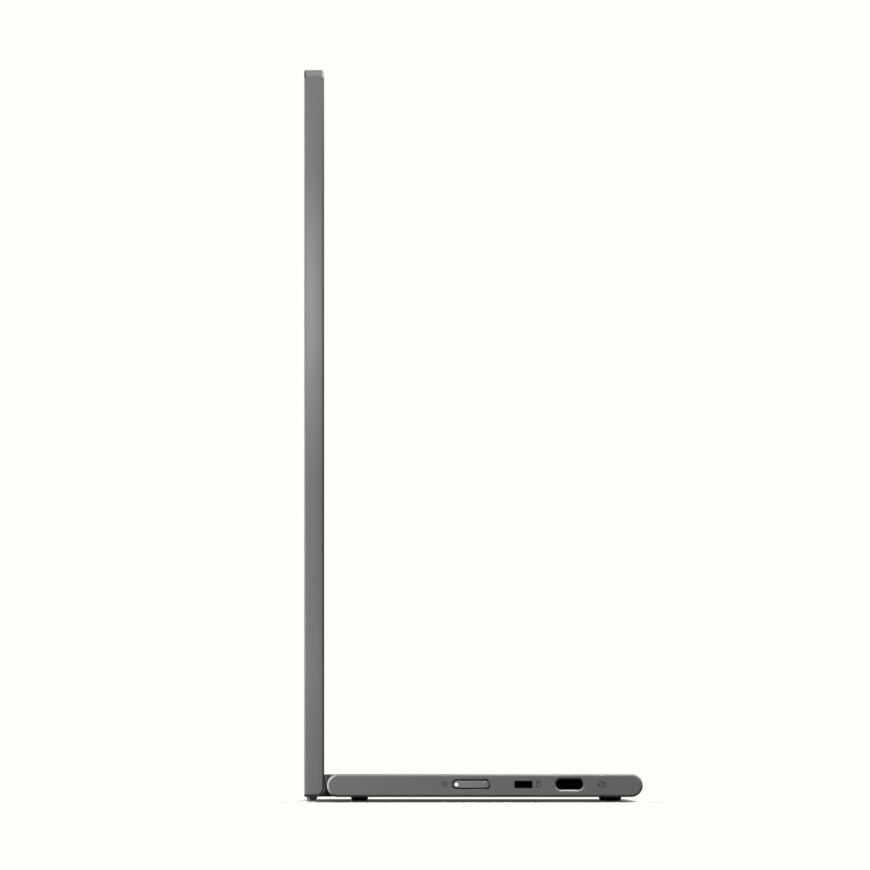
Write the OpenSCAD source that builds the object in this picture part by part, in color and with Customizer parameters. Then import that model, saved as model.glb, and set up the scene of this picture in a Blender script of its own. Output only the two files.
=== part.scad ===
// Portable monitor: a thin display slab that turns on a barrel hinge in a flat base.
// Millimetres, +Z up, the floor at Z = 0. The screen faces -Y, the base runs back to +Y,
// and the power button, lock slot and one port are on the +X side.

/* [Display slab] */
// Thickness of the slab
display_t = 6.7; // [6.6:0.1:8]
// Radius of the upper corners, seen from the front
display_corner_r = 3; // [2:0.1:6]
// Rounding of the edges towards the screen
display_front_r = 0.65; // [0.3:0.05:1]
// Rounding of the edges towards the back, and of the lower side edges
display_back_r = 0.85; // [0.4:0.05:1.1]
// Radius of the lower back edge
display_heel_r = 3.2; // [2.4:0.1:3.6]
// Wall behind the panel
cover_back_wall = 1.2; // [1:0.05:1.3]
// Wall round the rim
cover_rim_wall = 1.3; // [1.1:0.05:1.6]

/* [Panel] */
// Width of the picture
picture_w = 344.7; // [300:0.1:400]
// Height of the picture
picture_h = 215.4; // [180:0.1:240]
// Border from the slab's top down to the picture
top_border = 6.5; // [5.5:0.1:10]
// Border from the slab's sides to the picture
side_border = 6.15; // [5.5:0.05:10]
// Height of the chin below the picture
chin_h = 20.5; // [20:0.1:30]
// Step from the rim back to the bezel
bezel_recess = 0.15; // [0.05:0.05:0.3]
// Thickness of the bezel
bezel_t = 0.9; // [0.7:0.05:1]
// Gap round the bezel in the rim
bezel_gap = 0.1; // [0.05:0.05:0.2]
// Adhesive between the bezel and the glass
tape_t = 0.2; // [0.1:0.05:0.25]
// Thickness of the glass cell, two sheets
glass_t = 1; // [0.8:0.1:1.1]
// Margin of the glass beyond the picture
glass_margin = 2.2; // [1.8:0.1:2.5]
// Ledge of the rear glass below the picture
glass_ledge = 5.5; // [5:0.1:6]
// Thickness of the film stack
films_t = 0.4; // [0.3:0.05:0.45]
// Thickness of the light guide
guide_t = 0.7; // [0.5:0.05:0.75]
// Margin of the light guide beyond the picture
guide_margin = 1; // [0.8:0.1:1.2]
// Thickness of the reflector
reflector_t = 0.2; // [0.1:0.05:0.25]
// Thickness of the panel's metal back
back_plate_t = 0.3; // [0.2:0.05:0.35]
// Thickness of the driver board
driver_board_t = 0.6; // [0.4:0.1:0.7]
// Height of the driver board
driver_board_h = 11; // [9:0.5:14]

/* [Base] */
// Depth of the base
base_d = 105.4; // [104:0.2:130]
// Thickness of the base, which has full-round ends
base_t = 7.7; // [7.6:0.1:9]
// Rounding round the side faces
base_side_r = 0.9; // [0.4:0.05:1.2]
// Top wall, and wall round the hinge in the ears
base_wall = 1.1; // [1:0.05:1.2]
// Side walls with the ports
side_wall = 1.5; // [1.3:0.1:1.8]
// Wall at the rear, at its thickest
rear_wall = 4.2; // [4:0.1:6]
// Thickness of the inset bottom plate
bottom_plate_t = 1; // [0.8:0.1:1.1]
// Gap round the bottom plate
plate_gap = 0.1; // [0.05:0.05:0.2]

/* [Hinge] */
// Gap between the slab's back and the base
hinge_gap = 0.8; // [0.5:0.1:1.5]
// Width of the ears that carry the hinge pins
ear_w = 16; // [15.5:0.5:20]
// Inner wall of the ears
ear_wall = 1.2; // [1:0.1:1.4]
// Gap between the hinge cover and each ear
ear_gap = 0.3; // [0.2:0.05:0.5]
// Step from the base's surface in to the barrel
barrel_inset = 0.12; // [0.05:0.01:0.25]
// Gap between the barrel and the base behind it
notch_gap = 0.42; // [0.3:0.02:0.8]
// Wall of the base behind the barrel
notch_wall = 1.3; // [1.1:0.1:1.8]
// Radius of the hinge pins
pin_r = 1.7; // [1.5:0.05:1.8]
// Radius of the hole through the right pin
pin_bore_r = 1; // [0.9:0.05:1.1]
// Radial clearance of a pin in its sleeve
pin_fit = 0.03; // [0.01:0.01:0.05]
// Wall of the friction sleeve
sleeve_wall = 0.45; // [0.35:0.05:0.5]
// Wall of the bracket's ring round the sleeve
ring_wall = 0.55; // [0.45:0.05:0.6]
// Length of the friction sleeve
sleeve_len = 24; // [18:0.5:30]
// Clearance of the cover round the ring
ring_gap = 0.13; // [0.08:0.01:0.2]
// Bevel of the cover's ends, along the slab
cover_bevel = 0.45; // [0.1:0.05:0.6]
// Thickness of the brackets' arms
arm_t = 1.1; // [0.9:0.05:1.2]
// Thickness of the display bracket's leaf
leaf_t = 1; // [0.8:0.1:1.2]
// Width of the base bracket's leaf
base_leaf_w = 22; // [20:0.5:26]
// Length of the base bracket's leaf
base_leaf_len = 17; // [14:0.5:20]

/* [Side controls] */
// Height of the ports and keys above the base's middle
port_lift = 0.35; // [0:0.05:0.4]
// Middle of the power button, from the base's front
button_y = 48.2; // [46:0.1:52]
// Length of the power button's cap
button_l = 12; // [9:0.5:14]
// Height of the keys' caps
key_h = 2.4; // [2:0.1:2.6]
// Gap round the keys' caps
key_gap = 0.15; // [0.1:0.05:0.25]
// Width of the dished edge round the keys
dish_w = 0.45; // [0.2:0.05:0.5]
// Step from the side face in to the caps
key_step = 0.12; // [0:0.02:0.3]
// Travel of the power button
button_travel = 0.4; // [0.2:0.05:0.5]
// Radius of the light in the power button
led_r = 0.5; // [0.3:0.05:0.7]
// Distance of the light from the button's middle
led_offset = 4.9; // [3:0.1:5]
// Length of the menu rocker's cap
rocker_l = 14; // [12:0.5:18]
// Gap inside the wall that lets the rocker turn
rocker_play = 0.42; // [0.35:0.01:0.6]

/* [Ports] */
// Middle of the lock slot, from the base's front
lock_y = 65.6; // [64:0.1:68]
// Width of the lock slot
lock_w = 6; // [5:0.1:7]
// Height of the lock slot
lock_h = 2.5; // [2:0.1:3]
// Middle of the ports, from the base's front
usb_y = 81; // [79.5:0.1:81.5]
// Width of a port's shell
usb_w = 8.94; // [8.9:0.01:9]
// Height of a port's shell
usb_h = 3.26; // [3.2:0.01:3.3]
// Wall of a port's shell
usb_shell_t = 0.3; // [0.25:0.01:0.35]
// Length of a port's shell
usb_len = 7.4; // [7:0.1:9]
// Step from the side face in to a port's shell
usb_inset = 0.9; // [0.6:0.1:1.2]
// Clearance round a port's shell in the wall
usb_gap = 0.09; // [0.05:0.01:0.15]
// Width of the bevel round a port
usb_bevel = 0.55; // [0.2:0.05:0.6]

/* [Boards] */
// Thickness of the circuit boards
board_t = 0.8; // [0.6:0.05:1]
// Width of the main board
main_board_w = 70; // [50:1:90]
// Width of the side board
side_board_w = 40; // [30:1:60]
// Radius of the wiring between the base and the display
cable_r = 0.8; // [0.5:0.05:0.8]
// Thickness of the steel weight plate
weight_t = 1.9; // [1:0.1:1.9]

/* [Feet] */
// Height of all the feet
foot_h = 1.3; // [1:0.05:3]
// Length of each foot along the width
foot_l = 60; // [30:1:70]
// Depth of the base's feet where they meet it
foot_d = 5.7; // [4:0.1:6]
// Taper of the feet down to the floor
foot_taper = 0.45; // [0.1:0.05:0.8]
// Middle of the front feet, from the base's front
front_foot_y = 11.1; // [10:0.1:11.5]
// Middle of the rear feet, from the base's rear
rear_foot_y = 9.7; // [9:0.1:12]
// Distance of the feet's outer ends from the side faces
foot_side = 28.5; // [20:0.5:45]
// Depth of the slab's feet
chin_foot_d = 3.6; // [2.5:0.1:3.8]

/* [Fasteners] */
// Radius of the screws' threads
screw_r = 0.95; // [0.7:0.05:1]
// Radius of the screws' heads
screw_head_r = 1.8; // [1.5:0.1:2]
// Thickness of the screws' heads
screw_head_t = 0.55; // [0.4:0.05:0.6]
// Radius of the screw posts
post_r = 2.4; // [2:0.1:2.6]
// Length of the bottom plate's screws
base_screw_l = 4.4; // [3:0.1:4.6]
// Length of the screws that join the hinge cover's halves
cover_screw_l = 4.5; // [3:0.1:4.8]
// Middle of the front posts, from the base's front
front_post_y = 17; // [14.5:0.5:20]
// Distance of the inner posts from the part's middle
inner_post_x = 52; // [40:1:60]

/* [Hidden] */
$fn = 64;

shell_grey = [0.41, 0.41, 0.4];
dark_grey = [0.14, 0.14, 0.14];
black = [0.05, 0.05, 0.05];
steel = [0.62, 0.62, 0.63];
board_green = [0.1, 0.3, 0.2];
copper = [0.7, 0.45, 0.25];

// The picture and its borders give the slab's size, and the base is as wide as the slab
display_w = picture_w + 2 * side_border;
display_h = chin_h + picture_h + top_border;
base_w = display_w;
half_w = display_w / 2;

// The slab's front is at display_y and the base's front at base_y. The whole is
// centred on Y = 0, and the hinge axis is the middle of the base's round front.
total_d = display_t + hinge_gap + base_d;
display_y = -total_d / 2;
base_y = display_y + display_t + hinge_gap;
axis_off = base_t / 2;

// Depths in the slab, from its front
bezel_y = bezel_recess;
tape_y = bezel_y + bezel_t;
glass_y = tape_y + tape_t;
films_y = glass_y + glass_t;
guide_y = films_y + films_t;
reflector_y = guide_y + guide_t;
plate_y = reflector_y + reflector_t;
panel_end = plate_y + back_plate_t;
cover_inner_y = display_t - cover_back_wall;
film_gap = 0.1; // sheets lie this far inside the panel frame
glass_split = glass_t / 2;
ledge_step = 4; // the front glass stops this far above the rear one

// Heights in the slab, from its bottom
picture_bottom = chin_h;
picture_top = chin_h + picture_h;
glass_bottom = picture_bottom - glass_ledge;
pocket_heel_r = display_heel_r - cover_rim_wall;
led_bar_h = 1.2;
led_bar_top = picture_bottom - guide_margin - film_gap;

// Hinge, about its axis
barrel_r = base_t / 2 - barrel_inset;
sleeve_r = pin_r + pin_fit;
sleeve_out_r = sleeve_r + sleeve_wall;
ring_bore_r = sleeve_out_r + 0.02;
ring_r = ring_bore_r + ring_wall;
cavity_r = ring_r + ring_gap;
slab_back = -(axis_off + hinge_gap);
axis_in_display = display_t - slab_back;
arm_low = ring_r - arm_t;
heel_gap = 0.05;
seal_r = pin_r + 0.25; // holes that a pin only passes through
notch_front = axis_off + barrel_r + notch_gap;
pocket_front = notch_front + notch_wall;
tunnel_r = base_t / 2 - base_wall;
boss_r = tunnel_r - 0.15;
ceiling = base_t - base_wall;

// Places along the hinge, from the part's middle outwards
wall_in = base_w / 2 - side_wall;
ear_in = base_w / 2 - ear_w;
cover_half = ear_in - ear_gap;
cover_end_wall = 1.2;
sleeve_to = cover_half - cover_end_wall - 0.3;
sleeve_from = sleeve_to - sleeve_len;
pin_from = sleeve_from - 0.5;
collar_from = ear_in + ear_wall + 0.2;
collar_t = 0.6;
collar_r = pin_r + 0.6;
boss_from = collar_from + collar_t;
cable_turn = 1.5; // radius of the wiring's bends
cable_run_x = wall_in - cable_r - 0.4;
pin_to = cable_run_x - cable_turn;
clip_t = 0.4;
clip_from = pin_to - clip_t - 0.3;
boss_to = clip_from - 0.1;
pin_flat = pin_r - 0.3; // height of the flat that stops a pin turning in its boss
cable_drop_x = pin_from - 16; // the wiring turns towards the slab here
cover_cavity_from = cable_drop_x - 3;

// Base, from its front and bottom
port_z = base_t / 2 + port_lift;
pocket_corner_r = 1.5;
plate_front = pocket_front + plate_gap;
plate_rear = base_d - rear_wall - plate_gap;
board_top = port_z - usb_h / 2;
board_z = board_top - board_t;
board_front = button_y - rocker_l / 2 - 7.2;
board_rear = usb_y + usb_w / 2 + 4.53;
board_edge = wall_in - 2;
leaf_z = ceiling - arm_t;
leaf_from = boss_to - base_leaf_w;
rear_post_y = base_d - rear_foot_y;
outer_post_x = leaf_from - 13.5;
corner_post_x = base_w / 2 - 10.5;
post_spots = [
    for (s = [-1, 1]) each [
        [s * inner_post_x, front_post_y], [s * outer_post_x, front_post_y],
        [s * inner_post_x, rear_post_y], [s * corner_post_x, rear_post_y]
    ]
];
board_post_r = 1.9;
post_inset = 6; // from a board's front and rear edges to its posts
side_inset = 8; // from its side edges
main_spots = [
    [board_edge - side_inset, board_front + post_inset],
    [board_edge - main_board_w + side_inset, board_front + post_inset],
    [board_edge - main_board_w + side_inset, board_rear - post_inset]
];
side_spots = [
    [side_inset - board_edge, board_front + post_inset],
    [side_board_w - board_edge - post_inset, board_rear - post_inset]
];
cover_screw_in = 34;
cover_screw_out = 92;
cover_screw_x = [for (s = [-1, 1]) each [s * cover_screw_in, s * cover_screw_out]];
cover_screw_off = (axis_off + hinge_gap) * 0.62;
fixing_in = 12;
fixing_out = 64;
fixing_x = [for (s = [-1, 1]) each [s * fixing_in, s * fixing_out]];
fixing_z = 1.9;
fixing_depth = 3.3; // the cover's fixing screws reach this far past the slab's back wall
board_screw_depth = 2.4; // the boards' screws reach this far into their posts
screw_play = 0.1; // past a screw's end, and round its head
flange_t = 0.7;
flange_lip = 0.55;
switch_gap = 0.1;

// ---- Shared shapes ----

// Flat rectangle from p to q whose four corners have their own radii, from the lower
// left one counter-clockwise. A radius of 0 leaves a corner sharp.
module rounded(p, q, r) {
    corner = [[p.x, p.y], [q.x, p.y], q, [p.x, q.y]];
    turn = [[1, 1], [-1, 1], [-1, -1], [1, -1]];
    polygon([
        for (i = [0:3]) each
            r[i] == 0 ? [corner[i]]
            : i % 2 == 0 ? [corner[i] + [0, turn[i].y * r[i]], corner[i] + [turn[i].x * r[i], 0]]
            : [corner[i] + [turn[i].x * r[i], 0], corner[i] + [0, turn[i].y * r[i]]]
    ]);
    for (i = [0:3])
        if (r[i] > 0)
            translate(corner[i] + turn[i] * r[i]) circle(r[i]);
}

// Flat slot with round ends, l long and h high, about the origin
module slot(l, h) {
    square([l - h, h], center = true);
    for (s = [-1, 1])
        translate([s * (l - h) / 2, 0]) circle(h / 2);
}

// Extrudes a profile drawn in Y and Z from x0 to x1
module along_x(x0, x1) {
    translate([x0, 0, 0])
        rotate([90, 0, 90])
            linear_extrude(x1 - x0) children();
}

// Extrudes a profile drawn in X and Z from y0 to y1
module along_y(y0, y1) {
    translate([0, y1, 0])
        rotate([90, 0, 0])
            linear_extrude(y1 - y0) children();
}

// Turns a profile about an axis along X. The angle counts from +Y towards +Z.
module turned_x(from, sweep) {
    rotate([90, 0, 90])
        rotate([0, 0, from])
            rotate_extrude(angle = sweep) children();
}

// Round bar along X from x0 to x1
module bar_x(x0, x1, r) {
    translate([x0, 0, 0])
        rotate([0, 90, 0]) cylinder(r = r, h = x1 - x0);
}

module box(p, q) {
    translate(p) cube(q - p);
}

module in_display() {
    translate([0, display_y, foot_h]) children();
}

module in_base() {
    translate([0, base_y, foot_h]) children();
}

// Origin on the hinge axis
module on_axis() {
    translate([0, base_y + axis_off, foot_h + axis_off]) children();
}

// Mirrors the right side's shape to the left for side = -1
module on_side(side) {
    mirror([side < 0 ? 1 : 0, 0, 0]) children();
}

// Screw with its head's underside at the origin and its thread running up
module screw(l) {
    cylinder(r = screw_r, h = l);
    translate([0, 0, -screw_head_t]) cylinder(r = screw_head_r, h = screw_head_t);
}

// ---- Display slab ----

// The whole outside of the slab, with the rounded edges swept round its corners
module slab_solid() {
    fr = display_front_r;
    br = display_back_r;
    cr = display_corner_r;
    hr = display_heel_r;
    heel_y = display_t - hr;
    translate([0, 0, hr])
        linear_extrude(display_h - hr - cr)
            rounded([-half_w, 0], [half_w, display_t], [fr, fr, br, br]);
    along_x(-(half_w - cr), half_w - cr)
        rounded([0, display_h - cr], [display_t, display_h], [0, 0, br, fr]);
    for (s = [-1, 1])
        translate([s * (half_w - cr), 0, display_h - cr])
            rotate([90, 0, 0])
                rotate([0, 0, s > 0 ? 0 : 90])
                    rotate_extrude(angle = 90)
                        rounded([0, -display_t], [cr, 0], [0, br, fr, 0]);
    translate([0, heel_y, hr])
        turned_x(-90, 90)
            rounded([0, -half_w], [hr, half_w], [0, br, br, 0]);
    intersection() {
        along_x(-half_w, half_w) rounded([0, 0], [heel_y, hr], [fr, 0, 0, 0]);
        along_y(0, heel_y) rounded([-half_w, 0], [half_w, hr], [br, br, 0, 0]);
        linear_extrude(hr) rounded([-half_w, 0], [half_w, heel_y], [fr, fr, 0, 0]);
    }
}

// Front outline of what lies inside the rim, with a gap to it
module rim_outline(gap) {
    w = half_w - cover_rim_wall - gap;
    low = cover_rim_wall + gap;
    cr = display_corner_r - cover_rim_wall;
    rounded([-w, low], [w, display_h - low], [0.5, 0.5, cr, cr]);
}

// Arms of the display brackets, with a gap round them, in the slab's own place
module arm_openings(gap) {
    for (s = [-1, 1])
        on_side(s)
            box([sleeve_from - gap, cover_inner_y - 1, axis_off + arm_low - gap],
                [sleeve_to + gap, display_t + 1, axis_off + ring_r + gap]);
}

module display_back_cover() {
    color(shell_grey) in_display() difference() {
        slab_solid();
        intersection() {
            along_x(-half_w, half_w)
                rounded([-1, cover_rim_wall], [cover_inner_y, display_h - cover_rim_wall],
                    [0, pocket_heel_r, 0.4, 0]);
            along_y(-1, display_t) rim_outline(0);
        }
        arm_openings(0.15);
        // Way out for the wiring
        box([cable_drop_x - cable_r - 0.3, cover_inner_y - 1, axis_off - cable_r - 0.2],
            [cable_drop_x + cable_r + 0.3, display_t + 1, axis_off + cable_r + 0.9]);
        for (x = fixing_x)
            translate([x, cover_inner_y - 1, axis_off + fixing_z])
                rotate([-90, 0, 0]) cylinder(r = screw_r + 0.05, h = cover_back_wall + 2);
        for (s = [-1, 1])
            on_side(s) bracket_screw_spots()
                cylinder(r = screw_r, h = leaf_t + cover_back_wall * 0.75);
    }
}

module display_bezel() {
    color(black) in_display() difference() {
        along_y(bezel_y, bezel_y + bezel_t) rim_outline(bezel_gap);
        // The opening has a bevel towards the front
        hull() {
            box([-picture_w / 2 - 0.3, bezel_y + bezel_t, picture_bottom - 0.3],
                [picture_w / 2 + 0.3, bezel_y + bezel_t + 1, picture_top + 0.3]);
            box([-picture_w / 2 - 0.3, bezel_y + bezel_t / 2, picture_bottom - 0.3],
                [picture_w / 2 + 0.3, bezel_y + bezel_t, picture_top + 0.3]);
            box([-picture_w / 2 - 0.8, bezel_y - 0.1, picture_bottom - 0.8],
                [picture_w / 2 + 0.8, bezel_y, picture_top + 0.8]);
        }
    }
}

// Sheet of the panel: a margin round the picture, and how far it goes below it
module panel_sheet(y, t, margin, below) {
    box([-picture_w / 2 - margin, y, picture_bottom - below],
        [picture_w / 2 + margin, y + t, picture_top + margin]);
}

module bezel_tape() {
    color(dark_grey) in_display() difference() {
        panel_sheet(tape_y, tape_t, glass_margin, glass_ledge - ledge_step);
        panel_sheet(tape_y - 1, tape_t + 2, 0.6, 0.6);
    }
}

module lcd_panel() {
    color([0.03, 0.03, 0.04]) in_display() {
        panel_sheet(glass_y, glass_split, glass_margin, glass_ledge - ledge_step);
        panel_sheet(glass_y + glass_split, glass_t - glass_split, glass_margin, glass_ledge);
    }
}

module optical_films() {
    color("white") in_display()
        panel_sheet(films_y, films_t, guide_margin, guide_margin);
}

module light_guide_plate() {
    color("aliceblue") in_display()
        panel_sheet(guide_y, guide_t, guide_margin, guide_margin);
}

module reflector_sheet() {
    color("silver") in_display()
        panel_sheet(reflector_y, reflector_t, guide_margin,
            picture_bottom - led_bar_top + led_bar_h);
}

module panel_frame() {
    color("whitesmoke") in_display() difference() {
        panel_sheet(films_y, plate_y - films_y, glass_margin, glass_ledge);
        panel_sheet(films_y - 1, plate_y - films_y + 2, guide_margin + film_gap,
            picture_bottom - led_bar_top + led_bar_h + film_gap);
    }
}

module panel_back_plate() {
    color(steel) in_display()
        panel_sheet(plate_y, back_plate_t, glass_margin - 0.2, glass_ledge - 0.2);
}

// Circuit strip below the light guide, with its row of lamps
module backlight_led_bar() {
    color("gold") in_display() {
        box([-picture_w / 2, films_y + 0.05, led_bar_top - led_bar_h],
            [picture_w / 2, plate_y - reflector_t, led_bar_top - led_bar_h + 0.3]);
        pitch = 12;
        n = floor(picture_w / pitch / 2);
        for (i = [-n:n])
            box([i * pitch - 1.5, guide_y, led_bar_top - led_bar_h + 0.3],
                [i * pitch + 1.5, guide_y + guide_t, led_bar_top]);
    }
}

driver_board_y = panel_end;
driver_board_low = glass_bottom + 1;
driver_board_to = cable_drop_x - 18;
connector_w = 7;
connector_h = 6;

module panel_driver_board() {
    color(board_green) in_display()
        box([-driver_board_to, driver_board_y, driver_board_low],
            [driver_board_to, driver_board_y + driver_board_t, driver_board_low + driver_board_h]);
}

// Chips: place as a share of the board's half, width and height
module panel_board_chips() {
    chips = [[-0.86, 5, 5], [-0.59, 8, 5], [-0.22, 6, 6], [0.06, 9, 7], [0.39, 5, 4], [0.7, 6, 5]];
    chip_t = 0.7;
    chip_z = driver_board_low + driver_board_h / 2 + 1.2;
    color(black) in_display()
        for (c = chips)
            translate([c[0] * driver_board_to, driver_board_y + driver_board_t, chip_z])
                box([-c[1] / 2, 0, -c[2] / 2], [c[1] / 2, chip_t, c[2] / 2]);
}

// Film strips from the ledge of the glass, round the panel's lower edge, to the board
module panel_flexes() {
    t = 0.15;
    front = glass_y + glass_split - t;
    low = glass_bottom - 0.6;
    rear = driver_board_y + driver_board_t;
    flex_w = 18;
    pitch = (driver_board_to - flex_w) / 2.5;
    color(copper) in_display()
        for (i = [-2.5:2.5])
            along_x(i * pitch - flex_w / 2, i * pitch + flex_w / 2)
                polygon([
                    [front, glass_bottom + 3], [front, low - t], [rear + t, low - t],
                    [rear + t, driver_board_low + 1.5], [rear, driver_board_low + 1.5],
                    [rear, low], [front + t, low], [front + t, glass_bottom + 3]
                ]);
}

cable_up_y = (panel_end + cover_inner_y) / 2;
cable_top = driver_board_low + driver_board_h / 2 + 1;

module panel_connector() {
    color("ivory") in_display()
        box([driver_board_to, panel_end, cable_top - connector_h / 2],
            [driver_board_to + connector_w, cover_inner_y - 0.1, cable_top + connector_h / 2]);
}

module panel_foam_strips() {
    strip_w = 6;
    outer_x = picture_w / 2 - 40;
    low = driver_board_low + driver_board_h + 2 * strip_w;
    color(dark_grey) in_display()
        for (x = [-1, -1 / 3, 1 / 3, 1] * outer_x)
            box([x - strip_w / 2, panel_end, low],
                [x + strip_w / 2, cover_inner_y, picture_top - 14]);
}

// ---- Hinge, display side ----

leaf_low = axis_off + arm_low;
leaf_top = glass_bottom - 1.4;

// Screw places on the right bracket's leaf, in the slab's own place
module bracket_screw_spots() {
    for (i = [-1:1])
        translate([(sleeve_from + sleeve_to) / 2 + i * sleeve_len * 0.34,
            cover_inner_y - leaf_t, (leaf_low + leaf_top) / 2 + 0.6])
            rotate([-90, 0, 0]) children();
}

// Ring round the sleeve, an arm through the slab's back and a leaf screwed inside it
module display_bracket(side) {
    color(steel) on_side(side) {
        on_axis() difference() {
            union() {
                bar_x(sleeve_from, sleeve_to, ring_r);
                box([sleeve_from, cover_inner_y - leaf_t - axis_in_display, arm_low],
                    [sleeve_to, 0, ring_r]);
            }
            bar_x(sleeve_from - 1, sleeve_to + 1, ring_bore_r);
        }
        in_display() difference() {
            box([sleeve_from, cover_inner_y - leaf_t, leaf_low],
                [sleeve_to, cover_inner_y, leaf_top]);
            bracket_screw_spots()
                translate([0, 0, -1]) cylinder(r = screw_r + 0.1, h = leaf_t + 2);
        }
    }
}

module display_hinge_bracket_left() {
    display_bracket(-1);
}

module display_hinge_bracket_right() {
    display_bracket(1);
}

// Split sleeve that grips the pin
module friction_sleeve(side) {
    color(copper) on_side(side) on_axis() difference() {
        bar_x(sleeve_from, sleeve_to, sleeve_out_r);
        bar_x(sleeve_from - 1, sleeve_to + 1, sleeve_r);
        box([sleeve_from - 1, 0, -0.3], [sleeve_to + 1, ring_r, 0.3]);
    }
}

module friction_sleeve_left() {
    friction_sleeve(-1);
}

module friction_sleeve_right() {
    friction_sleeve(1);
}

// Section of the hinge cover: a barrel on the axis, and a neck that follows the slab's
// back and the round heel below it
module cover_section() {
    heel = [slab_back - display_heel_r, display_heel_r - axis_off];
    difference() {
        union() {
            circle(barrel_r);
            translate([heel.x, -barrel_r]) square([-heel.x, 2 * barrel_r]);
        }
        translate([heel.x - 1, heel.y]) square([display_heel_r + 1, base_t]);
        translate(heel) circle(display_heel_r + heel_gap);
    }
}

// Hollows for the sleeves, the arms and the wiring
module cover_hollows() {
    for (s = [-1, 1])
        on_side(s) {
            bar_x(s > 0 ? cover_cavity_from : sleeve_from - 1, cover_half - cover_end_wall, cavity_r);
            bar_x(cover_half - cover_end_wall - 1, cover_half + 1, seal_r);
            box([sleeve_from - 0.15, slab_back - 1, arm_low - 0.15],
                [sleeve_to + 0.15, 0, cavity_r]);
        }
    translate([cable_drop_x, 0, 0])
        rotate([90, 0, 0]) cylinder(r = cable_r + 0.2, h = axis_in_display);
}

// Where the screws that join the halves run, upwards from the lower half
module cover_screw_spots() {
    for (x = cover_screw_x)
        translate([x, -cover_screw_off, -barrel_r + screw_head_t + 0.25]) children();
}

// Cuts the edge of the right end that follows the slab, down its back and round its heel
module cover_end_bevel() {
    cut_r = display_heel_r + heel_gap;
    heel_z = display_heel_r - axis_off;
    translate([cover_half - cover_bevel, slab_back, heel_z])
        linear_extrude(base_t)
            polygon([[0, -1], [0, 0], [cover_bevel, cover_bevel], [cover_bevel + 1, cover_bevel],
                [cover_bevel + 1, -1]]);
    translate([cover_half - cover_bevel, slab_back - display_heel_r, heel_z])
        turned_x(-90, 90)
            polygon([[0, 0], [cut_r, 0], [cut_r + cover_bevel, cover_bevel],
                [cut_r + cover_bevel, cover_bevel + 1], [0, cover_bevel + 1]]);
}

module cover_half_solid(low, high) {
    difference() {
        intersection() {
            along_x(-cover_half, cover_half) cover_section();
            box([-cover_half - 1, -axis_in_display, low], [cover_half + 1, base_t, high]);
        }
        cover_hollows();
        for (s = [-1, 1])
            on_side(s) cover_end_bevel();
        cover_screw_spots() cylinder(r = screw_r, h = cover_screw_l + screw_play);
        cover_screw_spots()
            translate([0, 0, -2]) cylinder(r = screw_head_r + screw_play, h = 2);
    }
}

module hinge_cover_upper() {
    color(dark_grey) on_axis() difference() {
        cover_half_solid(0, base_t);
        for (x = fixing_x)
            translate([x, slab_back - 1, fixing_z])
                rotate([-90, 0, 0]) cylinder(r = screw_r, h = fixing_depth + 1 + screw_play);
    }
}

module hinge_cover_lower() {
    color(dark_grey) on_axis() cover_half_solid(-base_t, 0);
}

module hinge_bracket_screws() {
    color(steel) in_display()
        for (s = [-1, 1])
            on_side(s) bracket_screw_spots() screw(leaf_t + cover_back_wall * 0.7);
}

module hinge_cover_screws() {
    color(steel) on_axis() cover_screw_spots() screw(cover_screw_l);
}

module hinge_cover_fixing_screws() {
    color(steel) in_display()
        for (x = fixing_x)
            translate([x, cover_inner_y, axis_off + fixing_z])
                rotate([-90, 0, 0]) screw(cover_back_wall + fixing_depth);
}

// Round wiring with a quarter bend at each corner, from straight runs along the axes
module quarter_bend(turn) {
    rotate(turn)
        rotate_extrude(angle = 90)
            translate([cable_turn, 0]) circle(cable_r);
}

// From the hinge axis through the slab's back, up behind the panel to its connector
module display_cable() {
    b = cable_turn;
    in_y = axis_in_display - cable_up_y; // run from the axis to behind the panel
    up = cable_top - axis_off;
    out = driver_board_to + connector_w;
    color(black) in_display() translate([0, axis_in_display, axis_off]) {
        bar_x(cable_drop_x + b, pin_from - 0.3, cable_r);
        translate([cable_drop_x + b, -b, 0]) quarter_bend([0, 0, 90]);
        translate([cable_drop_x, -b, 0])
            rotate([90, 0, 0]) cylinder(r = cable_r, h = in_y - 2 * b);
        translate([cable_drop_x, b - in_y, b]) quarter_bend([0, 90, 180]);
        translate([cable_drop_x, -in_y, b]) cylinder(r = cable_r, h = up - 2 * b);
        translate([cable_drop_x - b, -in_y, up - b]) quarter_bend([90, 0, 0]);
        translate([0, -in_y, up]) bar_x(out, cable_drop_x - b, cable_r);
    }
}

foot_x = base_w / 2 - foot_side - foot_l / 2;

// Pads below the slab, upright in front and sloped behind
module chin_feet() {
    y = 0.95; // from the slab's front
    edge = 0.15;
    color(black) in_display()
        for (s = [-1, 1])
            along_x(s * foot_x - foot_l / 2, s * foot_x + foot_l / 2)
                polygon([[y, 0], [y, edge - foot_h], [y + edge, -foot_h],
                    [y + chin_foot_d * 0.6, -foot_h], [y + chin_foot_d * 0.78, -foot_h * 0.8],
                    [y + chin_foot_d, 0]]);
}

// ---- Base ----

// The base's outside: a plate with full-round front and rear and rounded side edges
module base_solid() {
    r = base_t / 2;
    for (end = [[r, 90], [base_d - r, -90]])
        translate([0, end[0], r])
            turned_x(end[1], 180)
                rounded([0, -base_w / 2], [r, base_w / 2], [0, base_side_r, base_side_r, 0]);
    along_y(r, base_d - r)
        rounded([-base_w / 2, 0], [base_w / 2, base_t], [for (i = [0:3]) base_side_r]);
}

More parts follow.
